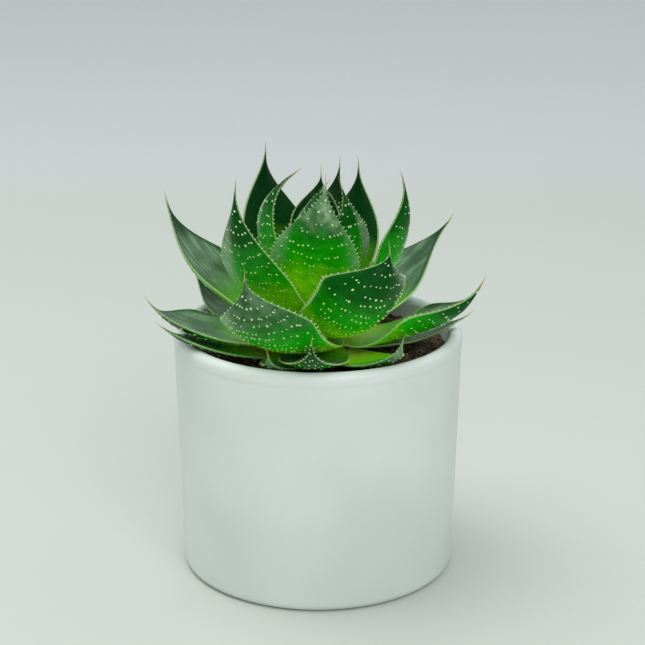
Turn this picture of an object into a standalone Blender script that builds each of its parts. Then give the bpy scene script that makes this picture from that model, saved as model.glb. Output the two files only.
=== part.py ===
"""Potted lace aloe: a rosette of toothed fleshy leaves on a short stem, in a white pot of soil.

Metres, +Z up. The origin is the centre of the pot's flat underside.
An azimuth of 0 points to the front, along -Y, and grows towards +X.
"""

import math

import bmesh
import bpy
import numpy as np

MM = 0.001
GAP = 0.35 * MM

# Pot
RIM_RADIUS = 50.0 * MM
FOOT_RADIUS = 47.6 * MM
POT_HEIGHT = 86.0 * MM
WALL = 4.8 * MM
FLOOR = 5.0 * MM
FOOT_ROUNDING = 3.0 * MM
POT_STEPS = 48

# Soil
SOIL_TOP = POT_HEIGHT - 7.2 * MM
SOIL_STEPS = 48

# Stem, and the leaf roots that climb it: the oldest leaf is the lowest and widest apart
STEM_CENTRE = (0.5 * MM, -3.0 * MM)
STEM_DEPTH = 20.0 * MM
ROOT_RADIUS = 2.6 * MM
ROOT_HEIGHT = POT_HEIGHT + 10.0 * MM
ROOT_STEP_OUT = 0.36 * MM
ROOT_STEP_DOWN = 0.6 * MM
STEM_CLEARANCE = 1.3 * MM
STEM_STEPS = 24

# Leaves
GOLDEN_ANGLE = 137.5
FIRST_AZIMUTH = 268.5
YOUNGEST_BASE_ANGLE = 62.0
OLDEST_BASE_ANGLE = -3.0
OPEN_AGE = 14.0
OPEN_POWER = 1.6
RIM_AGE = 24.0
WRAP_LIMIT = math.radians(66.0)
BASE_WIDTH = 0.78
WIDEST = 0.36
EDGE = 0.6 * MM
BASE_THICKNESS = 0.9 * MM
THICKNESS = 3.0 * MM
THIN = 1.8 * MM
KEEL = 0.8 * MM
AWN = 5.0 * MM
AWN_RADIUS = 0.35 * MM
TOOTH = 0.7 * MM
TOOTH_START = 0.3
TUBERCLE = 0.4 * MM
TUBERCLE_START = 0.2
LEAF_RINGS = 23
LEAF_SIDES = 12

# One row a leaf, from the oldest to the youngest: how far it is turned from the golden
# angle in degrees, its length in mm, the angle of its tip above the level in degrees, how
# late it curls, its half width in mm, how far its margins lift out of the shell as a share
# of the half width, how far along the leaf they begin to, how far it rolls its right margin
# down as a share of the half width, how far its tip sways round the stem in degrees, and
# how long the taper of its tip is as a share of the length.
LEAVES = (
    (24, 48, 39, 1.2, 11.5, 0.10, 0.0, 0.0, 4, 0.50),
    (-10, 44, 62, 1.8, 10.0, 0.10, 0.0, 0.0, -4, 0.60),
    (0, 46, 40, 1.4, 11.5, 0.10, 0.0, 0.0, -3, 0.50),
    (13, 38, 62, 2.6, 8.0, 0.10, 0.0, 0.0, 5, 0.60),
    (-8, 40, 30, 1.4, 11.5, 0.10, 0.0, 0.0, 0, 0.50),
    (1, 50, 55, 1.9, 13.5, 0.20, 0.0, 0.0, -4, 0.55),
    (-17, 50, 65, 2.1, 12.5, 0.10, 0.0, 0.0, 1, 0.60),
    (0, 50, 40, 1.6, 14.0, 0.20, 0.0, 0.0, 3, 0.50),
    (-3, 53, 50, 1.7, 17.0, 0.15, 0.0, 0.0, 0, 0.35),
    (3, 55, 61, 1.35, 15.5, 0.42, 0.20, 0.10, 3, 0.48),
    (0, 58, 54, 1.4, 16.0, 0.15, 0.0, 0.0, 0, 0.50),
    (2, 67, 100, 1.7, 18.5, 0.15, 0.0, 0.0, -8, 0.30),
    (23, 63, 52, 1.0, 17.0, 0.10, 0.0, 0.0, -9, 0.60),
    (-14, 69, 75, 1.1, 16.0, 0.30, 0.0, 0.0, 1, 0.50),
    (-18, 69, 98, 1.6, 18.5, 0.50, 0.0, 0.0, 9, 0.24),
    (5, 60, 84, 0.8, 16.0, 0.30, 0.0, 0.0, -6, 0.55),
    (12, 68, 97, 1.0, 16.5, 0.0, 0.0, 0.0, -3, 0.50),
    (-16, 61, 100, 0.9, 11.5, 0.25, 0.0, 0.0, -5, 0.36),
    (-3, 61, 98, 1.0, 16.5, 0.0, 0.0, 0.0, -3, 0.50),
    (-9, 58, 116, 1.1, 18.5, 0.0, 0.0, 0.0, 14, 0.50),
    (9, 52, 88, 1.1, 16.0, 0.0, 0.0, 0.0, 3, 0.55),
    (11, 58, 150, 1.7, 14.0, 0.0, 0.0, 0.0, 10, 0.60),
    (-14, 50, 118, 1.4, 14.5, 0.0, 0.0, 0.0, -7, 0.55),
    (-5, 45, 91, 1.1, 14.5, 0.15, 0.0, 0.0, -8, 0.40),
    (-3, 48, 153, 1.3, 13.5, 0.0, 0.0, 0.0, 0, 0.55),
    (0, 39, 116, 1.0, 12.0, 0.0, 0.0, 0.0, 0, 0.50),
    (0, 36, 116, 1.0, 11.0, 0.0, 0.0, 0.0, 0, 0.50),
    (0, 31, 112, 1.0, 9.0, 0.0, 0.0, 0.0, 0, 0.50),
)


def clear_scene():
    for obj in list(bpy.data.objects):
        bpy.data.objects.remove(obj, do_unlink=True)


def make_material(name, colour, roughness):
    material = bpy.data.materials.new(name)
    material.use_nodes = True
    shader = material.node_tree.nodes["Principled BSDF"]
    shader.inputs["Base Color"].default_value = (*colour, 1.0)
    shader.inputs["Roughness"].default_value = roughness
    shader.inputs["Metallic"].default_value = 0.0
    material.diffuse_color = (*colour, 1.0)
    return material


def add_object(name, mesh, material, collection, location=(0.0, 0.0, 0.0)):
    obj = bpy.data.objects.new(name, mesh)
    obj.location = location
    mesh.materials.append(material)
    collection.objects.link(obj)
    return obj


def arc(centre, radius, start, end, steps):
    """Points (x, z) on an arc, its angles in degrees from +X towards +Z."""
    angles = [math.radians(start + (end - start) * i / steps) for i in range(steps + 1)]
    return [(centre[0] + radius * math.cos(a), centre[1] + radius * math.sin(a)) for a in angles]


def turned(name, outline, steps, material, collection, location=(0.0, 0.0, 0.0)):
    """A solid turned round its own Z axis from an outline of (x, z) points."""
    mesh = bpy.data.meshes.new(name)
    bm = bmesh.new()
    verts = [bm.verts.new((x, 0.0, z)) for x, z in outline]
    for first, second in zip(verts, verts[1:]):
        bm.edges.new((first, second))
    bm.to_mesh(mesh)
    bm.free()
    obj = add_object(name, mesh, material, collection, location)
    screw = obj.modifiers.new("Screw", "SCREW")
    screw.steps = steps
    screw.render_steps = steps
    screw.use_merge_vertices = True
    screw.merge_threshold = 0.00001
    return obj


def pot_outline():
    """From the middle of the floor inside, over the lip and down, to the middle of the underside."""
    lip = WALL / 2
    inner_foot = FOOT_RADIUS - WALL
    outline = [(0.0, FLOOR)]
    outline += arc((inner_foot - FOOT_ROUNDING, FLOOR + FOOT_ROUNDING), FOOT_ROUNDING, -90, 0, 2)
    outline += arc((RIM_RADIUS - lip, POT_HEIGHT - lip), lip, 180, 0, 6)
    outline += arc((FOOT_RADIUS - FOOT_ROUNDING, FOOT_ROUNDING), FOOT_ROUNDING, 0, -90, 3)
    outline += [(0.0, 0.0)]
    return outline


def make_pot(collection):
    material = make_material("pot_ceramic", (0.62, 0.66, 0.63), 0.45)
    return turned("pot", pot_outline(), POT_STEPS, material, collection)


def inner_radius(height):
    """The inside radius of the pot's wall at a height above the inner rounding."""
    low, high = FLOOR + FOOT_ROUNDING, POT_HEIGHT - WALL / 2
    share = (height - low) / (high - low)
    return FOOT_RADIUS - WALL + share * (RIM_RADIUS - FOOT_RADIUS)


def soil_outline():
    top_radius = inner_radius(SOIL_TOP) - GAP
    corner = FOOT_RADIUS - WALL - FOOT_ROUNDING
    outline = [(0.0, SOIL_TOP)]
    outline += [(top_radius * share, SOIL_TOP) for share in (0.36, 0.52, 0.68, 0.84, 1.0)]
    outline += arc((corner, FLOOR + FOOT_ROUNDING), FOOT_ROUNDING - GAP, 0, -90, 2)
    outline += [(0.0, FLOOR + GAP)]
    return outline


def stem_base_radius():
    oldest = len(LEAVES) - 1
    return ROOT_RADIUS + ROOT_STEP_OUT * oldest - STEM_CLEARANCE


def make_soil(collection, cutters):
    material = make_material("dark_soil", (0.05, 0.04, 0.03), 0.95)
    soil = turned("soil", soil_outline(), SOIL_STEPS, material, collection)
    depth = STEM_DEPTH + GAP
    mesh = bpy.data.meshes.new("stem_hole")
    bm = bmesh.new()
    bmesh.ops.create_cone(bm, cap_ends=True, segments=STEM_STEPS, depth=2 * depth,
                          radius1=stem_base_radius() + GAP, radius2=stem_base_radius() + GAP)
    bm.to_mesh(mesh)
    bm.free()
    hole = bpy.data.objects.new("stem_hole", mesh)
    hole.location = (*STEM_CENTRE, SOIL_TOP)
    hole.hide_render = True
    hole.display_type = "WIRE"
    cutters.objects.link(hole)
    cut = soil.modifiers.new("Stem hole", "BOOLEAN")
    cut.operation = "DIFFERENCE"
    cut.solver = "EXACT"
    cut.object = hole
    return soil


def make_stem(collection):
    """A stub in its hole in the soil, and over it the cone that carries the leaves."""
    material = make_material("stem_flesh", (0.32, 0.42, 0.10), 0.6)
    oldest = len(LEAVES) - 1
    foot = stem_base_radius()
    tip = ROOT_RADIUS - STEM_CLEARANCE
    shoulder = ROOT_HEIGHT - ROOT_STEP_DOWN * oldest
    outline = [(0.0, ROOT_HEIGHT + 0.6 * MM), (tip * 0.7, ROOT_HEIGHT + 0.4 * MM)]
    for i in range(5):
        share = i / 4
        outline.append((tip + share * (foot - tip), ROOT_HEIGHT + share * (shoulder - ROOT_HEIGHT)))
    outline += [(foot, SOIL_TOP - STEM_DEPTH), (0.0, SOIL_TOP - STEM_DEPTH)]
    return turned("stem", outline, STEM_STEPS, material, collection, (*STEM_CENTRE, 0.0))


def smooth(x):
    x = np.clip(x, 0.0, 1.0)
    return x * x * (3.0 - 2.0 * x)


class Leaf:
    """A leaf on a shell turned round the stem, nested between older and younger shells."""

    def __init__(self, number):
        row = LEAVES[number - 1]
        self.turn, self.length, self.end, self.curl, self.half_width = row[:5]
        self.lift, self.lift_from, self.roll, self.sway, self.taper = row[5:]
        self.length *= MM
        self.half_width *= MM
        self.age = len(LEAVES) - number
        self.azimuth = math.radians(FIRST_AZIMUTH + GOLDEN_ANGLE * (number - 1) + self.turn)
        opening = max(0.0, 1.0 - (self.age / OPEN_AGE) ** OPEN_POWER)
        start = OLDEST_BASE_ANGLE + (YOUNGEST_BASE_ANGLE - OLDEST_BASE_ANGLE) * opening
        start += max(0.0, self.age - RIM_AGE)
        thinning = np.clip(max((self.age - 16.0) / 8.0, (4.0 - self.age) / 4.0), 0.0, 1.0)
        self.thickness = THICKNESS + (THIN - THICKNESS) * thinning
        # The midline in the plane of the leaf: radius, height and slope at fine stations
        self.fine = np.linspace(0.0, 1.0, 241)
        slope = np.radians(start + (self.end - start) * self.fine ** self.curl)
        step = self.length / (len(self.fine) - 1)
        out = (np.cos(slope[1:]) + np.cos(slope[:-1])) * step / 2
        up = (np.sin(slope[1:]) + np.sin(slope[:-1])) * step / 2
        self.slopes = slope
        self.radii = ROOT_RADIUS + ROOT_STEP_OUT * self.age + np.append(0.0, np.cumsum(out))
        self.heights = ROOT_HEIGHT - ROOT_STEP_DOWN * self.age + np.append(0.0, np.cumsum(up))

    def width_at(self, s):
        tip = smooth((1.0 - s) / self.taper)
        swell = BASE_WIDTH + (1.0 - BASE_WIDTH) * math.sin(min(s / WIDEST, 1.0) * math.pi / 2)
        return AWN_RADIUS + (self.half_width - AWN_RADIUS) * tip * swell

    def thickness_at(self, s):
        middle = self.thickness
        return np.interp(s, (0.0, 0.12, 0.4, 0.75, 1.0),
                         (BASE_THICKNESS, 0.55 * middle, middle, 0.7 * middle, EDGE))

    def point(self, s, across, depth, raised=0.0, tooth=0.0):
        """A point at station s from root to tip.

        across runs from -1 to 1 between the margins, depth from 0 on the back to 1 on the
        inner face; raised stands off the back, and tooth widens the leaf at its margin.
        """
        half = self.width_at(s)
        # A section stands square to the midline, so it tilts where the leaf sways
        lean = 2.0 * math.radians(self.sway) * s * np.interp(s, self.fine, self.radii) / self.length
        station = s - across * lean * half / self.length
        radius = np.interp(station, self.fine, self.radii)
        height = np.interp(station, self.fine, self.heights)
        slope = np.interp(station, self.fine, self.slopes)
        wrap = WRAP_LIMIT * math.tanh(half / radius / WRAP_LIMIT) + tooth / radius
        azimuth = self.azimuth + math.radians(self.sway) * s * s + across * wrap
        edge = abs(across)
        ramp = smooth((s - 0.02 - self.lift_from) / 0.45)
        thick = EDGE + (self.thickness_at(s) - EDGE) * (1.0 - edge ** 2.2)
        keel = KEEL * (1.0 - edge) * smooth((s - 0.45) / 0.4) * smooth((1.0 - s) / 0.2)
        off = (self.roll * across - self.lift * edge * edge) * half * ramp - depth * thick
        off += (keel + raised) * (1.0 - depth)
        radius += math.sin(slope) * off
        height -= math.cos(slope) * off
        return (radius * math.sin(azimuth), -radius * math.cos(azimuth), height)

    def awn_tip(self):
        end = self.point(1.0, 0.0, 0.5)
        slope, azimuth = self.slopes[-1], self.azimuth + math.radians(self.sway)
        out, up = AWN * math.cos(slope), AWN * math.sin(slope)
        return (end[0] + out * math.sin(azimuth), end[1] - out * math.cos(azimuth), end[2] + up)


def make_leaf(number, collection):
    """A sphere whose poles become root and tip and whose rings become the leaf's sections."""
    leaf = Leaf(number)
    name = f"leaf_{number:02d}"
    bm = bmesh.new()
    bmesh.ops.create_uvsphere(bm, u_segments=LEAF_SIDES, v_segments=LEAF_RINGS, radius=1.0)
    half_sides = LEAF_SIDES // 2
    for vert in bm.verts:
        polar = math.acos(max(-1.0, min(1.0, -vert.co.z)))
        ring = round(polar / math.pi * LEAF_RINGS)
        side = round(math.atan2(vert.co.y, vert.co.x) / (2 * math.pi) * LEAF_SIDES) % LEAF_SIDES
        s = (ring - 1) / (LEAF_RINGS - 2)
        back = side <= half_sides
        across = 2 * side / half_sides - 1 if back else 3 - 2 * side / half_sides
        if ring == 0:
            vert.co = leaf.point(0.0, 0.0, 0.5)
        elif ring == LEAF_RINGS:
            vert.co = leaf.awn_tip()
        elif side in (0, half_sides):
            toothed = ring % 2 == 1 and TOOTH_START < s < 0.97
            vert.co = leaf.point(s, across, 0.5, tooth=TOOTH if toothed else 0.0)
        else:
            bumpy = back and (ring + side) % 2 == 0 and TUBERCLE_START < s < 0.93
            vert.co = leaf.point(s, across, 0.0 if back else 1.0, raised=TUBERCLE if bumpy else 0.0)
    bmesh.ops.triangulate(bm, faces=bm.faces[:])
    mesh = bpy.data.meshes.new(name)
    bm.to_mesh(mesh)
    bm.free()
    green = 0.10 + 0.16 * (number / len(LEAVES))
    material = make_material(f"{name}_green", (0.03, green, 0.01), 0.4)
    mesh.shade_smooth()
    return add_object(name, mesh, material, collection, (*STEM_CENTRE, 0.0))


def main():
    clear_scene()
    collection = bpy.data.collections.new("potted_lace_aloe")
    cutters = bpy.data.collections.new("cutters")
    bpy.context.scene.collection.children.link(collection)
    bpy.context.scene.collection.children.link(cutters)
    make_pot(collection)
    make_soil(collection, cutters)
    make_stem(collection)
    for number in range(1, len(LEAVES) + 1):
        make_leaf(number, collection)


main()
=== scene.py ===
"""Potted lace aloe, dressed: fine leaves with teeth, tubercles and awns, a glazed pot and crumbly soil.

Metres, +Z up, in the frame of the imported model. The plant's shape values match the solids'.
An azimuth of 0 points to the front, along -Y, and grows towards +X.
"""

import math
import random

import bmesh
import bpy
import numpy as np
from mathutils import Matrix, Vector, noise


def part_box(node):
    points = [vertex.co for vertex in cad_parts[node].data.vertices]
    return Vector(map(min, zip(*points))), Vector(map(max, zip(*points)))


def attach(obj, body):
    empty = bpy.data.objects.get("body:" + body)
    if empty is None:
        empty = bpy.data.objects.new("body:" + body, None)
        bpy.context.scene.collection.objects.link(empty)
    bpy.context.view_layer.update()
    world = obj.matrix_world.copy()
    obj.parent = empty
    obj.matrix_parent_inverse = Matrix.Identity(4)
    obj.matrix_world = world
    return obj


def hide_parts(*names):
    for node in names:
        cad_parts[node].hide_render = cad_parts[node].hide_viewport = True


bl_info = {
    "name": "Potted lace aloe",
    "version": (1, 0, 0),
    "blender": (4, 5, 0),
    "location": "View3D > Sidebar > Lace aloe",
    "description": "Builds a potted lace aloe on the packed frame",
    "category": "Add Mesh",
}

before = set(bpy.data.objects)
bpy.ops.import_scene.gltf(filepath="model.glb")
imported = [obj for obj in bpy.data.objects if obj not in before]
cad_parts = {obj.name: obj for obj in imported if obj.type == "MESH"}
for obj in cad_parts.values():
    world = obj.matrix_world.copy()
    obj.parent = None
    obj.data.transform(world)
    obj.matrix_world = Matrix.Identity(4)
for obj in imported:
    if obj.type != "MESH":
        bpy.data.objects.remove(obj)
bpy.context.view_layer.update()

MM = 0.001
BODY = "root"
POT_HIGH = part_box("pot")[1]
SOIL_LOW, SOIL_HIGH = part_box("soil")

# Shape of the plant, the same values as the solids have
STEM_CENTRE = (0.5 * MM, -3.0 * MM)
RIM_HEIGHT = 86.0 * MM
ROOT_RADIUS = 2.6 * MM
ROOT_HEIGHT = RIM_HEIGHT + 10.0 * MM
ROOT_STEP_OUT = 0.36 * MM
ROOT_STEP_DOWN = 0.6 * MM
GOLDEN_ANGLE = 137.5
FIRST_AZIMUTH = 268.5
YOUNGEST_BASE_ANGLE = 62.0
OLDEST_BASE_ANGLE = -3.0
OPEN_AGE = 14.0
OPEN_POWER = 1.6
RIM_AGE = 24.0
WRAP_LIMIT = math.radians(66.0)
BASE_WIDTH = 0.78
WIDEST = 0.36
EDGE = 0.6 * MM
BASE_THICKNESS = 0.9 * MM
THICKNESS = 3.0 * MM
THIN = 1.8 * MM
KEEL = 0.8 * MM
AWN_RADIUS = 0.22 * MM
FINE_STATIONS = 241
MERGE_DISTANCE = 0.02 * MM
# A leaf's age is how many leaves are younger: the oldest and the youngest are thinner than the rest
THIN_FROM_AGE = 16.0
THINNING_AGES = 8.0
YOUNG_AND_THIN_AGE = 4.0
# Shares of a leaf's length: from where and over what its margins lift, and its keel rises and fades
LIFT_START = 0.02
LIFT_RAMP = 0.45
KEEL_START = 0.45
KEEL_RISE = 0.4
KEEL_FALL = 0.2
BULGE_POWER = 2.2

# One row a leaf, from the oldest to the youngest: how far it is turned from the golden
# angle in degrees, its length in mm, the angle of its tip above the level in degrees, how
# late it curls, its half width in mm, how far its margins lift out of the shell as a share
# of the half width, how far along the leaf they begin to, how far it rolls its right margin
# down as a share of the half width, how far its tip sways round the stem in degrees, and
# how long the taper of its tip is as a share of the length.
LEAVES = (
    (24, 48, 39, 1.2, 11.5, 0.10, 0.0, 0.0, 4, 0.50),
    (-10, 44, 62, 1.8, 10.0, 0.10, 0.0, 0.0, -4, 0.60),
    (0, 46, 40, 1.4, 11.5, 0.10, 0.0, 0.0, -3, 0.50),
    (13, 38, 62, 2.6, 8.0, 0.10, 0.0, 0.0, 5, 0.60),
    (-8, 40, 30, 1.4, 11.5, 0.10, 0.0, 0.0, 0, 0.50),
    (1, 50, 55, 1.9, 13.5, 0.20, 0.0, 0.0, -4, 0.55),
    (-17, 50, 65, 2.1, 12.5, 0.10, 0.0, 0.0, 1, 0.60),
    (0, 50, 40, 1.6, 14.0, 0.20, 0.0, 0.0, 3, 0.50),
    (-3, 53, 50, 1.7, 17.0, 0.15, 0.0, 0.0, 0, 0.35),
    (3, 55, 61, 1.35, 15.5, 0.42, 0.20, 0.10, 3, 0.48),
    (0, 58, 54, 1.4, 16.0, 0.15, 0.0, 0.0, 0, 0.50),
    (2, 67, 100, 1.7, 18.5, 0.15, 0.0, 0.0, -8, 0.30),
    (23, 63, 52, 1.0, 17.0, 0.10, 0.0, 0.0, -9, 0.60),
    (-14, 69, 75, 1.1, 16.0, 0.30, 0.0, 0.0, 1, 0.50),
    (-18, 69, 98, 1.6, 18.5, 0.50, 0.0, 0.0, 9, 0.24),
    (5, 60, 84, 0.8, 16.0, 0.30, 0.0, 0.0, -6, 0.55),
    (12, 68, 97, 1.0, 16.5, 0.0, 0.0, 0.0, -3, 0.50),
    (-16, 61, 100, 0.9, 11.5, 0.25, 0.0, 0.0, -5, 0.36),
    (-3, 61, 98, 1.0, 16.5, 0.0, 0.0, 0.0, -3, 0.50),
    (-9, 58, 116, 1.1, 18.5, 0.0, 0.0, 0.0, 14, 0.50),
    (9, 52, 88, 1.1, 16.0, 0.0, 0.0, 0.0, 3, 0.55),
    (11, 58, 150, 1.7, 14.0, 0.0, 0.0, 0.0, 10, 0.60),
    (-14, 50, 118, 1.4, 14.5, 0.0, 0.0, 0.0, -7, 0.55),
    (-5, 45, 91, 1.1, 14.5, 0.15, 0.0, 0.0, -8, 0.40),
    (-3, 48, 153, 1.3, 13.5, 0.0, 0.0, 0.0, 0, 0.55),
    (0, 39, 116, 1.0, 12.0, 0.0, 0.0, 0.0, 0, 0.50),
    (0, 36, 116, 1.0, 11.0, 0.0, 0.0, 0.0, 0, 0.50),
    (0, 31, 112, 1.0, 9.0, 0.0, 0.0, 0.0, 0, 0.50),
)

# The faint shoulder under the pot's lip, from top to bottom: how far it is set in from the rim
# and how far below the rim it lies, in mm
SHOULDER = ((0.00, 3.6), (0.04, 4.1), (0.30, 4.9), (0.33, 5.5))

# The stage: each light's name, place, size and power in watts, how much brighter the world's pale
# walls are than its dark room, how bright that is, and how far the table reaches
LIGHTS = (
    ("key_light", (0.35, -0.95, 0.9), 0.6, 4.8),
    ("top_light", (-0.40, 0.05, 1.2), 0.8, 6.0),
    ("front_light", (0.15, -1.8, 0.36), 0.7, 5.2),
)
PALE_WALLS = 0.76
DARK_ROOM = 0.08
TABLE_RADIUS = 4.0

# The photograph's camera: where it aims, how far off it stands and how steeply it looks down
PHOTO_WIDTH_PX = 645
FOCAL_LENGTH_PX = 2000.0
SENSOR_WIDTH_MM = 36.0
CAMERA_AIM = Vector((1.57 * MM, 0.0, RIM_HEIGHT + 1.3 * MM))
CAMERA_DISTANCE = 691.0 * MM
CAMERA_PITCH = math.radians(18.43)


def linear(red, green, blue):
    """A colour as it is seen on a screen, 0 to 255, as linear values."""
    values = []
    for value in (red, green, blue):
        share = value / 255.0
        values.append(share / 12.92 if share <= 0.04045 else ((share + 0.055) / 1.055) ** 2.4)
    return tuple(values)


def smooth(x):
    """An eased step from 0 to 1 while x goes from 0 to 1."""
    x = np.clip(x, 0.0, 1.0)
    return x * x * (3.0 - 2.0 * x)


class Leaf:
    """A leaf on a shell turned round the stem, nested between older and younger shells."""

    def __init__(self, number):
        row = LEAVES[number - 1]
        turn, length, end, self.curl, half_width = row[:5]
        self.lift, self.lift_from, self.roll, self.sway, self.taper = row[5:]
        self.number = number
        self.name = f"leaf_{number:02d}"
        self.length = length * MM
        self.half_width = half_width * MM
        self.age = len(LEAVES) - number
        self.azimuth = math.radians(FIRST_AZIMUTH + GOLDEN_ANGLE * (number - 1) + turn)
        opening = max(0.0, 1.0 - (self.age / OPEN_AGE) ** OPEN_POWER)
        start = OLDEST_BASE_ANGLE + (YOUNGEST_BASE_ANGLE - OLDEST_BASE_ANGLE) * opening
        start += max(0.0, self.age - RIM_AGE)
        old = (self.age - THIN_FROM_AGE) / THINNING_AGES
        young = (YOUNG_AND_THIN_AGE - self.age) / YOUNG_AND_THIN_AGE
        thinning = np.clip(max(old, young), 0.0, 1.0)
        self.thickness = THICKNESS + (THIN - THICKNESS) * thinning
        # The midline in the plane of the leaf: radius, height and slope at fine stations
        self.fine = np.linspace(0.0, 1.0, FINE_STATIONS)
        slope = np.radians(start + (end - start) * self.fine ** self.curl)
        step = self.length / (len(self.fine) - 1)
        out = (np.cos(slope[1:]) + np.cos(slope[:-1])) * step / 2
        up = (np.sin(slope[1:]) + np.sin(slope[:-1])) * step / 2
        self.slopes = slope
        self.radii = ROOT_RADIUS + ROOT_STEP_OUT * self.age + np.append(0.0, np.cumsum(out))
        self.heights = ROOT_HEIGHT - ROOT_STEP_DOWN * self.age + np.append(0.0, np.cumsum(up))

    def width_at(self, s):
        """Half the width at stations s from root to tip, along the curve of the section."""
        tip = smooth((1.0 - s) / self.taper)
        swell = BASE_WIDTH + (1.0 - BASE_WIDTH) * np.sin(np.clip(s / WIDEST, 0.0, 1.0) * math.pi / 2)
        return AWN_RADIUS + (self.half_width - AWN_RADIUS) * tip * swell

    def thickness_at(self, s):
        """The thickness on the midline at stations s, without the keel."""
        middle = self.thickness
        stations = (0.0, 0.12, 0.4, 0.75, 1.0)
        return np.interp(s, stations, (BASE_THICKNESS, 0.55 * middle, middle, 0.7 * middle, EDGE))

    def point(self, s, across, depth):
        """Points at stations s from root to tip, as an array of (x, y, z) rows.

        across runs from -1 to 1 between the margins, depth from 0 on the back to 1 on the
        inner face. A negative depth stands off the back.
        """
        s, across, depth = np.broadcast_arrays(s, across, depth)
        half = self.width_at(s)
        # A section stands square to the midline, so it tilts where the leaf sways
        lean = 2.0 * math.radians(self.sway) * s * np.interp(s, self.fine, self.radii) / self.length
        station = s - across * lean * half / self.length
        radius = np.interp(station, self.fine, self.radii)
        height = np.interp(station, self.fine, self.heights)
        slope = np.interp(station, self.fine, self.slopes)
        wrap = WRAP_LIMIT * np.tanh(half / radius / WRAP_LIMIT)
        azimuth = self.azimuth + math.radians(self.sway) * s * s + across * wrap
        edge = np.abs(across)
        ramp = smooth((s - LIFT_START - self.lift_from) / LIFT_RAMP)
        bulge = 1.0 - np.minimum(edge, 1.0) ** BULGE_POWER
        thick = EDGE + (self.thickness_at(s) - EDGE) * bulge
        keel = KEEL * (1.0 - edge) * smooth((s - KEEL_START) / KEEL_RISE)
        keel = keel * smooth((1.0 - s) / KEEL_FALL)
        off = (self.roll * across - self.lift * edge * edge) * half * ramp - depth * thick
        off = off + keel * np.clip(1.0 - depth, 0.0, 1.0)
        radius = radius + np.sin(slope) * off
        height = height - np.cos(slope) * off
        x = STEM_CENTRE[0] + radius * np.sin(azimuth)
        y = STEM_CENTRE[1] - radius * np.cos(azimuth)
        return np.stack([x, y, height], axis=-1)

    def frame_at(self, s, across, depth):
        """A point, the way to the tip, the way across and the way out of the back there."""
        step = 0.004
        here = self.point(s, across, depth)
        along = self.point(min(s + step, 1.0), across, depth) - self.point(s - step, across, depth)
        side = self.point(s, across + step, depth) - self.point(s, across - step, depth)
        along, side = Vector(along).normalized(), Vector(side).normalized()
        out = side.cross(along).normalized()
        return Vector(here), along, side, out


def settings(context, name):
    """The sizes or the colours, by the name under which the scene holds them."""
    return getattr(context.scene, name)


def add_piece(name, bm, material, smooth_angle=None):
    """A new object from a bmesh, riding on the plant's one body."""
    mesh = bpy.data.meshes.new(name)
    bm.to_mesh(mesh)
    bm.free()
    return finish_piece(mesh, material, smooth_angle)


def finish_piece(mesh, material, smooth_angle=None):
    """The object of a mesh, smooth up to an angle in radians, with its material, body and slot."""
    if smooth_angle is not None:
        mesh.shade_smooth()
        mesh.set_sharp_from_angle(angle=smooth_angle)
    obj = bpy.data.objects.new(mesh.name, mesh)
    bpy.context.scene.collection.objects.link(obj)
    mesh.materials.append(material)
    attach(obj, BODY)
    return obj


def give_attribute(obj, name, values):
    """Gives each vertex a number for the materials to read."""
    attribute = obj.data.attributes.new(name, "FLOAT", "POINT")
    attribute.data.foreach_set("value", np.asarray(values, dtype=np.float32))


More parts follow.
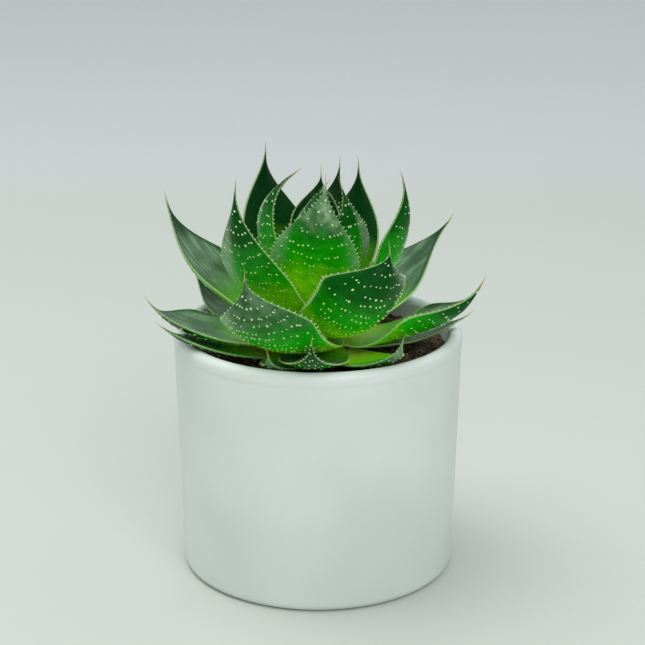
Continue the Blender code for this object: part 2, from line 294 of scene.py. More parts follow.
class Nodes:
    """Short ways to add and join the nodes of one material."""

    def __init__(self, name):
        self.material = bpy.data.materials.new(name)
        self.material.use_nodes = True
        self.tree = self.material.node_tree
        self.shader = self.tree.nodes["Principled BSDF"]

    @classmethod
    def of_world(cls, world):
        """The same for the nodes of a world, which has no shader of its own."""
        make = cls.__new__(cls)
        make.tree = world.node_tree
        return make

    def put(self, node, socket, value):
        """Links a socket's value, or sets it where it is a plain number, colour or vector."""
        if isinstance(value, bpy.types.NodeSocket):
            self.tree.links.new(value, node.inputs[socket])
        else:
            node.inputs[socket].default_value = value

    def shade(self, socket, value):
        """Sets a value of the material's shader."""
        self.put(self.shader, socket, value)

    def attribute(self, name):
        node = self.tree.nodes.new("ShaderNodeAttribute")
        node.attribute_name = name
        return node.outputs["Fac"]

    def place(self):
        """The place on the piece in metres, in the frame of the model."""
        return self.tree.nodes.new("ShaderNodeTexCoord").outputs["Object"]

    def join(self, x, y, z):
        node = self.tree.nodes.new("ShaderNodeCombineXYZ")
        for socket, value in zip("XYZ", (x, y, z)):
            self.put(node, socket, value)
        return node.outputs["Vector"]

    def separate(self, vector):
        node = self.tree.nodes.new("ShaderNodeSeparateXYZ")
        self.put(node, "Vector", vector)
        return node.outputs

    def sums(self, operation, first, second=0.0, third=0.0):
        """One Math node, by the name of its operation."""
        node = self.tree.nodes.new("ShaderNodeMath")
        node.operation = operation
        for socket, value in enumerate((first, second, third)):
            self.put(node, socket, value)
        return node.outputs[0]

    def times(self, product, *factors):
        """The product of two or more values."""
        for factor in factors:
            product = self.sums("MULTIPLY", product, factor)
        return product

    def spread(self, value, low, high, new_low=0.0, new_high=1.0):
        """A value between low and high, eased to lie between new_low and new_high."""
        node = self.tree.nodes.new("ShaderNodeMapRange")
        node.interpolation_type = "SMOOTHSTEP"
        for socket, part in enumerate((value, low, high, new_low, new_high)):
            self.put(node, socket, part)
        return node.outputs["Result"]

    def grain(self, vector, scale, detail=3.0, roughness=0.5):
        """Noise of a scale per metre, about 0.3 to 0.7."""
        node = self.tree.nodes.new("ShaderNodeTexNoise")
        self.put(node, "Vector", vector)
        self.put(node, "Scale", scale)
        self.put(node, "Detail", detail)
        self.put(node, "Roughness", roughness)
        return node.outputs["Fac"]

    def ramp(self, value, *stops):
        """A colour ramp from pairs of place and linear colour."""
        node = self.tree.nodes.new("ShaderNodeValToRGB")
        self.put(node, "Fac", value)
        elements = node.color_ramp.elements
        while len(elements) < len(stops):
            elements.new(0.5)
        for element, (place, colour) in zip(elements, stops):
            element.position = place
            element.color = (*colour, 1.0)
        return node.outputs["Color"]

    def mix(self, share, first, second, blend="MIX"):
        """The first colour with a share of the second mixed or blended in."""
        node = self.tree.nodes.new("ShaderNodeMix")
        node.data_type = "RGBA"
        node.blend_type = blend
        for socket, value in ((0, share), (6, first), (7, second)):
            if isinstance(value, tuple) and len(value) == 3:
                value = (*value, 1.0)
            self.put(node, socket, value)
        return node.outputs[2]

    def bump(self, height, strength, distance):
        node = self.tree.nodes.new("ShaderNodeBump")
        self.put(node, "Height", height)
        self.put(node, "Strength", strength)
        self.put(node, "Distance", distance)
        self.shade("Normal", node.outputs["Normal"])


class Flesh(Nodes):
    """The patterns of a leaf's flesh, which read the attributes that its operator gives it.

    along runs from 0 at the root to 1 at the tip and on through the awn, across from -1 to 1
    between the margins, and back is 1 on the back and 0 on the inner face. tone is a leaf's own
    random number, and age falls from nearly 1 for the oldest leaf to 0 for the youngest.
    side_metres and root_metres are the way from the midline and from the root.
    """

    streak_stretch = 0.05
    blotch_depth = 0.16

    def __init__(self, colours):
        super().__init__("leaf_flesh")
        self.colours = colours
        self.along = self.attribute("along")
        self.across = self.attribute("across")
        self.reach = self.sums("ABSOLUTE", self.across)
        self.back = self.attribute("back")
        self.tone = self.attribute("tone")
        self.age = self.attribute("age")
        side, root = self.attribute("side_metres"), self.attribute("root_metres")
        self.metres = self.join(side, root, self.tone)
        self.patches = self.grain(self.metres, 60.0, detail=2.0)
        self.blotches = self.grain(self.metres, 220.0, detail=2.0)
        self.pebbles = self.grain(self.metres, 330.0, detail=1.0)
        stretched = self.join(side, self.times(root, self.streak_stretch), self.tone)
        self.streaks = self.grain(stretched, 900.0, detail=4.0, roughness=0.65)
        earlier = self.sums("SUBTRACT", self.along, self.blotch_depth / 2)
        self.shifted = self.sums("MULTIPLY_ADD", self.blotches, self.blotch_depth, earlier)

    def back_green(self):
        """Pale and yellowish where it leaves the stem, bright green, then dark at the tip."""
        return self.ramp(
            self.shifted,
            (0.00, linear(232, 245, 150)),
            (0.18, linear(216, 255, 50)),
            (0.38, tuple(self.colours.root)),
            (0.55, tuple(self.colours.middle)),
            (0.78, tuple(self.colours.tip)),
            (1.00, linear(0, 60, 16)),
        )

    def inner_green(self):
        """Darker than the back, and bright only at the root."""
        return self.ramp(
            self.shifted,
            (0.00, linear(190, 235, 60)),
            (0.30, linear(86, 176, 10)),
            (0.58, linear(0, 62, 12)),
            (1.00, linear(0, 46, 16)),
        )

    def streaks_and_sheen(self):
        """How grey the inner face is, in streaks and patches on grown leaves, less at their edges:
        partly its own pale streaks, partly a painted reflection of the light on it.
        """
        return self.times(
            self.spread(self.along, 0.34, 0.60),
            self.spread(self.age, 0.42, 0.50),
            self.spread(self.age, 0.76, 0.92, 1.0, 0.3),
            self.spread(self.reach, 0.72, 0.94, 1.0, 0.25),
            self.spread(self.along, 0.72, 0.94, 1.0, 0.15),
            self.spread(self.streaks, 0.35, 0.65, 0.40, 0.95),
            self.spread(self.patches, 0.36, 0.60, 0.35, 1.0),
        )

    def painted_sheen(self):
        """Painted sheen on the back: a pale haze painted on the half turned to the plant's side, where
        side lights would reflect, and a painted highlight at some tips.
        """
        place = self.separate(self.place())
        turn = self.sums("ARCTAN2", place["X"], self.times(place["Y"], -1.0))
        # Painted reflection: the half of the back that faces the plant's left or right side is hazed
        # pale, where side lights would shine off it
        side_reflection = self.times(
            self.spread(self.times(self.across, self.sums("SINE", turn)), 0.17, 0.52),
            self.spread(self.along, 0.42, 0.58),
            self.spread(self.along, 0.72, 0.94, 1.0, 0.3),
        )
        # Painted highlight near the tips of some leaves, broken up by the pebbles
        tip_highlight = self.times(
            self.spread(self.along, 0.68, 0.86),
            self.spread(self.patches, 0.38, 0.58, 0.35, 1.0),
            self.spread(self.tone, 0.78, 0.90),
            self.spread(self.pebbles, 0.38, 0.62, 0.5, 1.15),
        )
        clouds = self.spread(self.grain(self.metres, 110.0, detail=3.0), 0.32, 0.60, 0.35, 0.80)
        return self.times(self.sums("MAXIMUM", side_reflection, tip_highlight), clouds)

    def awn_colour(self):
        """Dry green to straw."""
        fibres = self.grain(self.place(), 260.0)
        return self.ramp(fibres, (0.35, linear(150, 170, 120)), (0.65, linear(196, 150, 96)))

    def colour(self):
        """The two faces with their streaks, painted reflection and painted sheen, each leaf's own tone,
        pale margins and the awn.
        """
        backs = self.back_green()
        oldest = self.spread(self.age, 0.76, 0.90)
        insides = self.mix(oldest, self.inner_green(), backs)
        # Grey on the inner faces: partly their own streaks, partly a painted reflection on grown leaves
        insides = self.mix(self.streaks_and_sheen(), insides, tuple(self.colours.streak_sheen))
        # Painted reflection and painted highlight on the backs, in the pale sheen colour
        backs = self.mix(self.painted_sheen(), backs, tuple(self.colours.sheen_colour))
        colour = self.mix(self.back, insides, backs)
        bright = self.sums("MULTIPLY_ADD", self.tone, 0.18, 0.88)
        colour = self.mix(1.0, colour, self.join(bright, bright, bright), blend="MULTIPLY")
        margin = self.spread(self.reach, 0.97, 0.992)
        margin = self.times(margin, self.spread(self.along, 0.4, 0.75, 0.75, 0.45))
        colour = self.mix(margin, colour, tuple(self.colours.margin))
        awn = self.spread(self.along, 0.985, 1.01)
        return self.mix(awn, colour, self.awn_colour())


def flesh_material(colours):
    """Waxy flesh that lets a little light in, pebbly on the back and finely streaked all over."""
    make = Flesh(colours)
    make.shade("Base Color", make.colour())
    make.shade("Roughness", make.spread(make.blotches, 0.2, 0.8, 0.20, 0.34))
    make.shade("Specular IOR Level", 0.1)
    make.shade("Subsurface Weight", 0.12)
    make.shade("Subsurface Radius", (0.35, 1.0, 0.12))
    make.shade("Subsurface Scale", 0.0025)
    pebbles = make.times(make.pebbles, make.back, 3.0)
    fine = make.sums("ADD", make.streaks, make.grain(make.metres, 1500.0))
    make.bump(make.sums("ADD", pebbles, fine), 0.45, 0.0004)
    return make.material


def point_material():
    """Teeth and tubercles: chalky white near the tip, yellow green near the root."""
    make = Nodes("leaf_points")
    colour = make.ramp(
        make.attribute("along"),
        (0.10, linear(150, 215, 40)),
        (0.40, linear(196, 240, 90)),
        (0.60, linear(206, 240, 150)),
        (1.00, linear(206, 232, 190)),
    )
    mottle = make.grain(make.place(), 900.0)
    stain = make.spread(mottle, 0.3, 0.7, 0.0, 0.25)
    make.shade("Base Color", make.mix(stain, colour, linear(150, 185, 120)))
    make.shade("Roughness", make.spread(mottle, 0.2, 0.8, 0.4, 0.6))
    make.shade("Subsurface Weight", 0.15)
    make.shade("Subsurface Radius", (0.6, 1.0, 0.4))
    make.shade("Subsurface Scale", 0.001)
    return make.material


def glaze_material(colours):
    """Matt white glaze with a faint orange peel and a slow change of tone."""
    make = Nodes("pot_glaze")
    place = make.place()
    cloud = make.grain(place, 14.0, detail=2.0)
    specks = make.spread(make.grain(place, 1400.0, detail=1.0), 0.70, 0.78, 0.0, 0.10)
    white = make.mix(make.spread(cloud, 0.3, 0.7), tuple(colours.glaze), linear(205, 215, 210))
    make.shade("Base Color", make.mix(specks, white, linear(150, 158, 152)))
    make.shade("Roughness", make.spread(make.grain(place, 60.0), 0.3, 0.7, 0.34, 0.44))
    make.shade("Specular IOR Level", 0.45)
    make.bump(make.grain(place, 700.0, detail=2.0), 0.05, 0.0002)
    return make.material


def soil_material(colours):
    """Dark moist mix with paler specks and a rough surface."""
    make = Nodes("potting_soil")
    place = make.place()
    crumbs = make.grain(place, 420.0, detail=8.0, roughness=0.7)
    colour = make.ramp(
        crumbs,
        (0.32, linear(24, 18, 12)),
        (0.50, tuple(colours.soil)),
        (0.60, linear(124, 100, 72)),
        (0.70, linear(186, 160, 124)),
    )
    make.shade("Base Color", colour)
    make.shade("Roughness", make.spread(crumbs, 0.2, 0.8, 0.75, 0.98))
    make.bump(crumbs, 0.9, 0.0012)
    return make.material


def crumb_material():
    """Bits of bark, grit and perlite, each with its own shade."""
    make = Nodes("soil_crumbs")
    colour = make.ramp(
        make.attribute("shade"),
        (0.00, linear(30, 22, 15)),
        (0.40, linear(84, 64, 44)),
        (0.62, linear(166, 132, 90)),
        (0.85, linear(206, 182, 144)),
        (1.00, linear(232, 226, 210)),
    )
    rough = make.grain(make.place(), 1200.0, detail=4.0)
    dirt = make.spread(rough, 0.35, 0.65, 0.0, 0.5)
    make.shade("Base Color", make.mix(dirt, colour, linear(40, 30, 22)))
    make.shade("Roughness", make.spread(rough, 0.2, 0.8, 0.7, 0.95))
    make.bump(rough, 0.5, 0.0004)
    return make.material


def stem_material():
    """Pale green fibres, hidden under the leaves."""
    make = Nodes("stem_flesh")
    fibres = make.grain(make.place(), 500.0, detail=4.0)
    colour = make.ramp(fibres, (0.3, linear(96, 120, 40)), (0.7, linear(150, 165, 80)))
    make.shade("Base Color", colour)
    make.shade("Roughness", make.spread(fibres, 0.2, 0.8, 0.5, 0.7))
    return make.material


def floor_material(colours):
    """A pale table that turns a little bluer towards its far side."""
    make = Nodes("pale_table")
    place = make.place()
    far = make.spread(make.separate(place)["Y"], 0.44, 0.60)
    colour = make.mix(far, tuple(colours.table), tuple(colours.far_table))
    stain = make.spread(make.grain(place, 6.0), 0.3, 0.7, 0.0, 0.06)
    make.shade("Base Color", make.mix(stain, colour, linear(190, 196, 190)))
    make.shade("Roughness", 0.6)
    make.shade("Specular IOR Level", 0.25)
    return make.material


def arc(centre, radius, start, end, steps):
    """Points (x, 0, z) on an arc, its angles in degrees from +X towards +Z."""
    angles = [math.radians(start + (end - start) * i / steps) for i in range(steps + 1)]
    return [(centre[0] + radius * math.cos(a), 0.0, centre[1] + radius * math.sin(a)) for a in angles]


def spun(outline, steps):
    """A closed bmesh turned round the Z axis from outline points that start and end on it."""
    bm = bmesh.new()
    verts = [bm.verts.new(point) for point in outline]
    edges = [bm.edges.new(pair) for pair in zip(verts, verts[1:])]
    bmesh.ops.spin(bm, geom=verts + edges, cent=(0, 0, 0), axis=(0, 0, 1), dvec=(0, 0, 0),
                   angle=2 * math.pi, steps=steps, use_merge=True, use_duplicate=False)
    bmesh.ops.remove_doubles(bm, verts=bm.verts[:], dist=MERGE_DISTANCE)
    bmesh.ops.recalc_face_normals(bm, faces=bm.faces[:])
    return bm


class AloeSizes(bpy.types.PropertyGroup):
    wall: bpy.props.FloatProperty(
        name="Wall", description="Thickness of the pot's wall", default=4.8 * MM, unit="LENGTH")
    floor: bpy.props.FloatProperty(
        name="Pot floor", description="Thickness of the pot's floor", default=5.0 * MM, unit="LENGTH")
    foot_radius: bpy.props.FloatProperty(
        name="Foot radius", description="Pot's outer radius at its foot",
        default=47.6 * MM, unit="LENGTH")
    foot_rounding: bpy.props.FloatProperty(
        name="Foot rounding", description="Radius of the pot's lower edge",
        default=3.0 * MM, unit="LENGTH")
    tooth: bpy.props.FloatProperty(
        name="Tooth", description="Length of the longest teeth", default=0.95 * MM, unit="LENGTH")
    tooth_spacing: bpy.props.FloatProperty(
        name="Tooth spacing", description="Way from tooth to tooth", default=1.5 * MM, unit="LENGTH")
    tubercle: bpy.props.FloatProperty(
        name="Tubercle", description="Radius of a tubercle", default=0.36 * MM, unit="LENGTH")
    tubercle_spacing: bpy.props.FloatProperty(
        name="Tubercle spacing", description="Way from tubercle to tubercle in a row",
        default=1.7 * MM, unit="LENGTH")
    row_spacing: bpy.props.FloatProperty(
        name="Row spacing", description="Way from row to row of tubercles",
        default=3.6 * MM, unit="LENGTH")
    awn: bpy.props.FloatProperty(
        name="Awn", description="Length of the hair at a leaf's tip", default=4.9 * MM, unit="LENGTH")
    soil_relief: bpy.props.FloatProperty(
        name="Soil relief", description="Height of the soil's lumps", default=1.6 * MM, unit="LENGTH")


def colour_property(name, description, colour):
    """A colour that the panel shows, from linear values."""
    return bpy.props.FloatVectorProperty(
        name=name, description=description, default=colour, size=3, min=0.0, max=1.0, subtype="COLOR")


class AloeColours(bpy.types.PropertyGroup):
    root: colour_property("Leaf root", "Flesh near the root", linear(156, 255, 8))
    middle: colour_property("Leaf middle", "Flesh in the middle", linear(24, 186, 0))
    tip: colour_property("Leaf tip", "Flesh near the tip", linear(0, 88, 10))
    # Grey streaks on inner faces: partly the leaf's own streaks, partly a painted reflection on grown
    # leaves
    streak_sheen: colour_property("Worn flesh", "Streaks on inner faces", linear(130, 166, 130))
    # A pale haze on the backs: a painted reflection of the side lights and a painted highlight at some
    # tips
    sheen_colour: colour_property("Bloom", "Waxy haze on the backs", linear(160, 196, 154))
    margin: colour_property("Margin", "Thin line along the leaf's edge", linear(186, 216, 150))
    glaze: colour_property("Glaze", "The pot's white", linear(222, 230, 225))
    soil: colour_property("Soil", "Moist potting soil", linear(66, 52, 38))
    table: colour_property("Table", "Table near the pot", linear(199, 205, 198))
    far_table: colour_property("Far table", "Table far behind the pot", linear(203, 209, 208))


class ALOE_OT_pot(bpy.types.Operator):
    """Add the glazed pot"""

    bl_idname = "aloe.pot"
    bl_label = "Pot"

    steps = 160
    corner_steps = 6
    lip_steps = 20
    foot_steps = 8

    def execute(self, context):
        sizes = settings(context, "aloe_sizes")
        rim, height, lip = POT_HIGH.x, POT_HIGH.z, sizes.wall / 2
        foot, rounding = sizes.foot_radius, sizes.foot_rounding
        corner = (foot - sizes.wall - rounding, sizes.floor + rounding)
        outline = [(0.0, 0.0, sizes.floor)]
        outline += arc(corner, rounding, -90, 0, self.corner_steps)
        outline += arc((rim - lip, height - lip), lip, 180, 0, self.lip_steps)
        outline += [(rim - inset * MM, 0.0, height - down * MM) for inset, down in SHOULDER]
        outline += arc((foot - rounding, rounding), rounding, 0, -90, self.foot_steps)
        outline += [(0.0, 0.0, 0.0)]
        bm = spun(outline, self.steps)
        glaze = glaze_material(settings(context, "aloe_colours"))
        pot = add_piece("pot_glazed", bm, glaze, smooth_angle=math.radians(40))
        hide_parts("pot")
        return {"FINISHED"}


class ALOE_OT_soil(bpy.types.Operator):
    """Add the soil, lumpy on top, and the crumbs that lie on it"""

    bl_idname = "aloe.soil"
    bl_label = "Soil"

    rings = 56
    steps = 168
    corner_steps = 3
    # The lower edge stays clear of the pot's inner rounding
    rounding_share = 0.88
    # The lumps' scale, how deep they lie and how far they may rise, as shares of the relief
    lumps_per_metre = 160.0
    sunk = 0.15
    highest = 0.35
    crumbs = 900
    smallest_crumb = 0.35 * MM
    largest_crumb = 1.2 * MM
    off_the_wall = 1.5 * MM
    # The share of the top's area, in the middle, that has no crumbs
    bare_middle = 0.08
    seed = 11

    def height(self, x, y):
        """The height of the lumpy soil at a place, flattened where it would rise too far."""
        relief = settings(bpy.context, "aloe_sizes").soil_relief
        lumps = noise.fractal(Vector((x, y, 0.0)) * self.lumps_per_metre, 1.0, 2.0, 4)
        return SOIL_HIGH.z + relief * min(self.highest, lumps - self.sunk)

    def execute(self, context):
        sizes = settings(context, "aloe_sizes")
        top, radius, rounding = SOIL_HIGH.z, SOIL_HIGH.x, sizes.foot_rounding
        corner = (sizes.foot_radius - sizes.wall - rounding, sizes.floor + rounding)
        outline = [(0.0, 0.0, top)]
        outline += [(radius * i / self.rings, 0.0, top) for i in range(1, self.rings + 1)]
        outline += arc(corner, rounding * self.rounding_share, 0, -90, self.corner_steps)
        outline += [(0.0, 0.0, SOIL_LOW.z)]
        bm = spun(outline, self.steps)
        for vert in bm.verts:
            if vert.co.z > top - 0.1 * MM:
                vert.co.z = self.height(vert.co.x, vert.co.y)
        mix = soil_material(settings(context, "aloe_colours"))
        soil = add_piece("soil_bed", bm, mix, smooth_angle=math.radians(80))
        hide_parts("soil")
        self.add_crumbs(radius)
        return {"FINISHED"}

    def add_crumbs(self, radius):
        """Small bent grains, most of them fine, strewn evenly outside the plant's foot."""
        chance = random.Random(self.seed)
        bm = bmesh.new()
        shades = []
        for _ in range(self.crumbs):
            reach = (radius - self.off_the_wall) * math.sqrt(chance.uniform(self.bare_middle, 1.0))
            turn = chance.uniform(0.0, 2 * math.pi)
            x, y = reach * math.sin(turn), reach * math.cos(turn)
            coarse = chance.random() ** 3
            size = self.smallest_crumb + (self.largest_crumb - self.smallest_crumb) * coarse
            stretch = Matrix.Diagonal((1.0, chance.uniform(0.5, 1.0), chance.uniform(0.4, 0.8), 1.0))
            spin = Matrix.Rotation(chance.uniform(0, math.pi), 4, "Z")
            tilt = Matrix.Rotation(chance.uniform(-0.4, 0.4), 4, "X")
            place = Matrix.Translation((x, y, self.height(x, y) + 0.15 * size))
            matrix = place @ spin @ tilt @ stretch
            made = bmesh.ops.create_icosphere(bm, subdivisions=1, radius=size, matrix=matrix)
            for vert in made["verts"]:
                vert.co += Vector([chance.uniform(-0.2, 0.2) * size for _ in range(3)])
            shades += [chance.random() ** 1.4] * len(made["verts"])
        crumbs = add_piece("soil_crumbs", bm, crumb_material())
        give_attribute(crumbs, "shade", shades)


class ALOE_OT_stem(bpy.types.Operator):
    """Give the stem its fibrous flesh"""

    bl_idname = "aloe.stem"
    bl_label = "Stem"

    def execute(self, context):
        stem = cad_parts["stem"]
        stem.data.materials.clear()
        stem.data.materials.append(stem_material())
        return {"FINISHED"}


class ALOE_OT_leaves(bpy.types.Operator):
    """Add the flesh of every leaf, each with its hair-like awn"""

    bl_idname = "aloe.leaves"
    bl_label = "Leaves"

    sides = 44
    rings = 76
    awn_rings = 7
    # How far past 1 the awn's end is on the attribute that runs along a leaf
    awn_share = 0.08
    first_seed = 50

    def execute(self, context):
        material = flesh_material(settings(context, "aloe_colours"))
        for number in range(1, len(LEAVES) + 1):
            self.add_leaf(Leaf(number), material, settings(context, "aloe_sizes").awn)
        return {"FINISHED"}

    def add_leaf(self, leaf, material, awn_length):
        """A sphere whose poles become root and awn and whose rings become the leaf's sections."""
        chance = random.Random(self.first_seed + leaf.number)
        tone = chance.random()
        bm = bmesh.new()
        segments = self.rings + self.awn_rings + 1
        bmesh.ops.create_uvsphere(bm, u_segments=self.sides, v_segments=segments, radius=1.0)
        places = np.array([vert.co[:] for vert in bm.verts])
        ring = np.rint(np.arccos(np.clip(-places[:, 2], -1.0, 1.0)) / math.pi * segments)
        turn = np.rint(np.arctan2(places[:, 1], places[:, 0]) / (2 * math.pi) * self.sides)
        share = (turn % self.sides) / (self.sides / 2)
        back = share <= 1.0
        across = -np.cos(math.pi * share)
        margin = np.isclose(share, 0.0) | np.isclose(share, 1.0)
        pole = (ring == 0) | (ring == segments)
        s = np.clip((ring - 1) / (self.rings - 1), 0.0, 1.0)
        depth = np.where(margin | pole, 0.5, np.where(back, 0.0, 1.0))
        across = np.where(pole, 0.0, across)
        points = leaf.point(s, across, depth)
        past = np.clip((ring - self.rings) / (self.awn_rings + 1), 0.0, 1.0)
        points = self.with_awn(leaf, points, past, awn_length, chance)
        for vert, point in zip(bm.verts, points):
            vert.co = point
        obj = add_piece(f"{leaf.name}_flesh", bm, material, smooth_angle=math.radians(60))
        give_attribute(obj, "along", s + self.awn_share * past)
        give_attribute(obj, "across", across)
        give_attribute(obj, "back", np.where(margin, 0.5, np.where(back, 1.0, 0.0)))
        give_attribute(obj, "side_metres", across * leaf.width_at(s))
        give_attribute(obj, "root_metres", s * leaf.length)
        give_attribute(obj, "tone", np.full(len(s), tone))
        give_attribute(obj, "age", np.full(len(s), 1.0 - leaf.number / len(LEAVES)))
        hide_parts(leaf.name)

    def with_awn(self, leaf, points, past, awn_length, chance):
        """Moves the rings past the leaf's end out along a thin, slightly bent hair."""
        end = leaf.point(1.0, 0.0, 0.5)
        slope, azimuth = leaf.slopes[-1], leaf.azimuth + math.radians(leaf.sway)
        out = np.array([math.sin(azimuth), -math.cos(azimuth), 0.0])
        up = np.array([0.0, 0.0, 1.0])
        forward = math.cos(slope) * out + math.sin(slope) * up
        bend = math.cos(slope) * up - math.sin(slope) * out
        side = np.cross(forward, bend)
        curve = chance.uniform(-0.10, 0.16) * awn_length
        sideways = chance.uniform(-0.10, 0.10) * awn_length
        thin = np.where(past > 0.0, 1.0 - past ** 0.8, 1.0)[:, None]
        t = past[:, None]
        centre = end + forward * t * awn_length + (bend * curve + side * sideways) * t * t
        return np.where(t > 0.0, centre + (points - end) * thin, points)


class Copies:
    """Many copies of one small shape, gathered for a mesh that holds them all."""

    def __init__(self, create, **options):
        bm = bmesh.new()
        create(bm, **options)
        self.shape = np.array([[*vert.co, 1.0] for vert in bm.verts])
        self.sides = [[vert.index for vert in face.verts] for face in bm.faces]
        bm.free()
        self.places = []
        self.stations = []

    def put(self, place, station):
        """Notes a copy by its matrix and its station along the leaf."""
        self.places.append(np.array(place))
        self.stations.append(station)

    def gather(self, verts, faces, stations):
        """Adds the copies' vertices, faces and stations along the leaf to the lists."""
        for place, station in zip(self.places, self.stations):
            first = len(verts)
            verts.extend((self.shape @ place.T)[:, :3].tolist())
            faces.extend([[first + corner for corner in side] for side in self.sides])
            stations.extend([station] * len(self.shape))


class ALOE_OT_points(bpy.types.Operator):
    """Add the teeth on the margins and the tubercles on the backs"""

    bl_idname = "aloe.points"
    bl_label = "Teeth and tubercles"

    first_seed = 100
    # Shares of a leaf's length
    first_tooth = 0.36
    last_tooth = 0.985
    first_row = 0.16
    last_row = 0.95
    last_tubercle = 0.965
    # The share of a leaf's width that carries tubercles, and of their places left bare
    dotted_width = 0.86
    missing_share = 0.20
    # How far a row's ends run on towards the tip, and how far it waves, in mm
    bow = 2.2
    waviness = 0.5
    # A tooth's radius as a share of the longest tooth, and how deep its foot is sunk
    tooth_radius = 0.22
    sunk = 0.1 * MM

    def execute(self, context):
        material = point_material()
        sizes = settings(context, "aloe_sizes")
        for number in range(1, len(LEAVES) + 1):
            leaf = Leaf(number)
            chance = random.Random(self.first_seed + number)
            verts, faces, stations = [], [], []
            for shapes in (self.teeth(leaf, sizes, chance), self.tubercles(leaf, sizes, chance)):
                shapes.gather(verts, faces, stations)
            mesh = bpy.data.meshes.new(f"{leaf.name}_points")
            mesh.from_pydata(verts, [], faces)
            obj = finish_piece(mesh, material, smooth_angle=math.radians(60))
            give_attribute(obj, "along", stations)
        return {"FINISHED"}

    def teeth(self, leaf, sizes, chance):
        """Small cones that point out and towards the tip, smaller near root and tip."""
        cones = Copies(bmesh.ops.create_cone, cap_ends=True, segments=6,
                       radius1=1.0, radius2=0.15, depth=1.0)
        for margin in (-1.0, 1.0):
            s = self.first_tooth + chance.uniform(0.0, 0.02)
            while s < self.last_tooth:
                grown = float(smooth((s - 0.32) / 0.3))
                grown *= 0.4 + 0.6 * float(smooth((1.0 - s) / 0.3))
                length = sizes.tooth * (0.15 + 0.85 * grown) * chance.uniform(0.7, 1.2)
                here, forward, side, _ = leaf.frame_at(s, margin, 0.5)
                way = (side * margin * 0.9 + forward * chance.uniform(0.3, 0.7)).normalized()
                turned = way.to_track_quat("Z", "Y").to_matrix().to_4x4()
                wide = sizes.tooth * self.tooth_radius
                shape = Matrix.Diagonal((wide, wide, length + 2 * self.sunk, 1.0))
                middle = Matrix.Translation(here + way * (length / 2 - self.sunk))
                cones.put(middle @ turned @ shape, s)
                s += sizes.tooth_spacing * chance.uniform(0.7, 1.3) / leaf.length
        return cones

    def tubercles(self, leaf, sizes, chance):
        """Rows across the back, bowed towards the tip at their ends and a little wavy."""
        domes = Copies(bmesh.ops.create_uvsphere, u_segments=8, v_segments=5, radius=1.0)
        s = self.first_row
        while s < self.last_row:
            half = float(leaf.width_at(s))
            count = max(1, round(2 * self.dotted_width * half / sizes.tubercle_spacing))
            wave, waves = chance.uniform(0, 2 * math.pi), chance.uniform(2.0, 5.0)
            for i in range(count):
                if chance.random() < self.missing_share:
                    continue
                across = self.dotted_width * (2 * (i + 0.5 + chance.uniform(-0.3, 0.3)) / count - 1)
                bow = self.bow * across * across + self.waviness * math.sin(wave + waves * across)
                station = s + (bow + chance.uniform(-0.45, 0.45)) * MM / leaf.length
                if station < self.last_tubercle:
                    self.put_dome(domes, leaf, station, across, sizes.tubercle, chance)
            s += sizes.row_spacing * chance.uniform(0.85, 1.15) / leaf.length
        return domes

    def put_dome(self, domes, leaf, s, across, radius, chance):
        """A flat-topped dome on the back, smaller near the root and on narrow leaves."""
        here, forward, side, out = leaf.frame_at(s, across, 0.0)
        size = radius * chance.uniform(0.6, 1.2)
        size *= 0.65 + 0.35 * float(smooth((s - 0.25) / 0.5))
        size *= 0.6 + 0.4 * float(smooth((leaf.half_width - 8 * MM) / (8 * MM)))
        turned = Matrix((side, forward, out)).transposed().to_4x4()
        shape = Matrix.Diagonal((size, size * 1.15, size * 0.8, 1.0))
        domes.put(Matrix.Translation(here) @ turned @ shape, s)


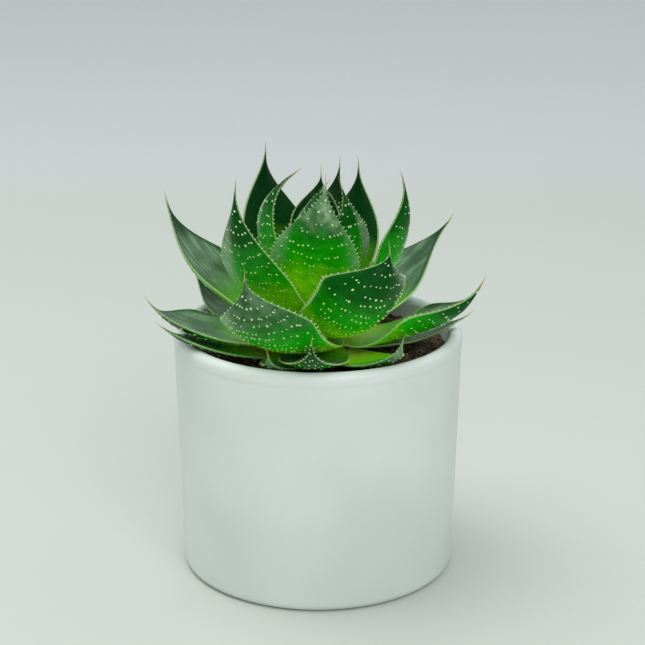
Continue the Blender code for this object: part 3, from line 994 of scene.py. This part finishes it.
class ALOE_OT_stage(bpy.types.Operator):
    """Add the table, the light and the camera"""

    bl_idname = "aloe.stage"
    bl_label = "Stage"

    def execute(self, context):
        self.add_table(context)
        self.add_world(context)
        for light in LIGHTS:
            self.add_light(*light)
        self.add_camera(context)
        return {"FINISHED"}

    def add_table(self, context):
        """A plain round table far wider than the view."""
        bm = bmesh.new()
        bmesh.ops.create_circle(bm, cap_ends=True, segments=96, radius=TABLE_RADIUS)
        mesh = bpy.data.meshes.new("pale_table")
        bm.to_mesh(mesh)
        bm.free()
        table = bpy.data.objects.new("pale_table", mesh)
        mesh.materials.append(floor_material(settings(context, "aloe_colours")))
        context.scene.collection.objects.link(table)

    def add_world(self, context):
        """Pale walls behind, beside and above the plant, and a dark room behind the camera."""
        world = bpy.data.worlds.new("studio")
        world.use_nodes = True
        make = Nodes.of_world(world)
        way = make.separate(make.tree.nodes.new("ShaderNodeTexCoord").outputs["Generated"])
        sides = make.spread(way["Y"], -0.60, 0.10)
        above = make.spread(way["Z"], 0.30, 0.70)
        bright = make.sums("MAXIMUM", sides, above)
        background = make.tree.nodes["Background"]
        make.put(background, "Color", (*linear(238, 242, 243), 1.0))
        make.put(background, "Strength", make.sums("MULTIPLY_ADD", bright, PALE_WALLS, DARK_ROOM))
        context.scene.world = world
        context.scene.view_settings.view_transform = "Standard"

    def add_light(self, name, place, size, power):
        """A square soft light that points at the plant."""
        data = bpy.data.lights.new(name, "AREA")
        data.shape = "SQUARE"
        data.size = size
        data.energy = power
        light = bpy.data.objects.new(name, data)
        light.location = place
        aim = CAMERA_AIM - Vector(place)
        light.rotation_euler = aim.to_track_quat("-Z", "Y").to_euler()
        bpy.context.scene.collection.objects.link(light)

    def add_camera(self, context):
        """The photograph's view, straight from the front and a little from above."""
        data = bpy.data.cameras.new("photo_camera")
        data.sensor_width = SENSOR_WIDTH_MM
        data.lens = SENSOR_WIDTH_MM * FOCAL_LENGTH_PX / PHOTO_WIDTH_PX
        camera = bpy.data.objects.new("photo_camera", data)
        look = Vector((0.0, math.cos(CAMERA_PITCH), -math.sin(CAMERA_PITCH)))
        camera.location = CAMERA_AIM - look * CAMERA_DISTANCE
        camera.rotation_euler = look.to_track_quat("-Z", "Y").to_euler()
        context.scene.collection.objects.link(camera)
        context.scene.camera = camera


class ALOE_PT_panel(bpy.types.Panel):
    """Sizes, colours and pieces of the potted lace aloe"""

    bl_idname = "ALOE_PT_panel"
    bl_label = "Potted lace aloe"
    bl_space_type = "VIEW_3D"
    bl_region_type = "UI"
    bl_category = "Lace aloe"

    def draw(self, context):
        for group in ("aloe_sizes", "aloe_colours"):
            box = self.layout.box()
            values = settings(context, group)
            for name in values.__annotations__:
                box.prop(values, name)
        for operator in OPERATORS:
            self.layout.operator(operator.bl_idname)


OPERATORS = (ALOE_OT_pot, ALOE_OT_soil, ALOE_OT_stem, ALOE_OT_leaves, ALOE_OT_points, ALOE_OT_stage)
CLASSES = (AloeSizes, AloeColours, *OPERATORS, ALOE_PT_panel)


def register():
    for cls in CLASSES:
        bpy.utils.register_class(cls)
    bpy.types.Scene.aloe_sizes = bpy.props.PointerProperty(type=AloeSizes)
    bpy.types.Scene.aloe_colours = bpy.props.PointerProperty(type=AloeColours)


def unregister():
    del bpy.types.Scene.aloe_colours
    del bpy.types.Scene.aloe_sizes
    for cls in reversed(CLASSES):
        bpy.utils.unregister_class(cls)


def main():
    """Builds the plant."""
    register()
    bpy.ops.aloe.pot()
    bpy.ops.aloe.soil()
    bpy.ops.aloe.stem()
    bpy.ops.aloe.leaves()
    bpy.ops.aloe.points()
    bpy.ops.aloe.stage()


if __name__ == "__main__":
    main()
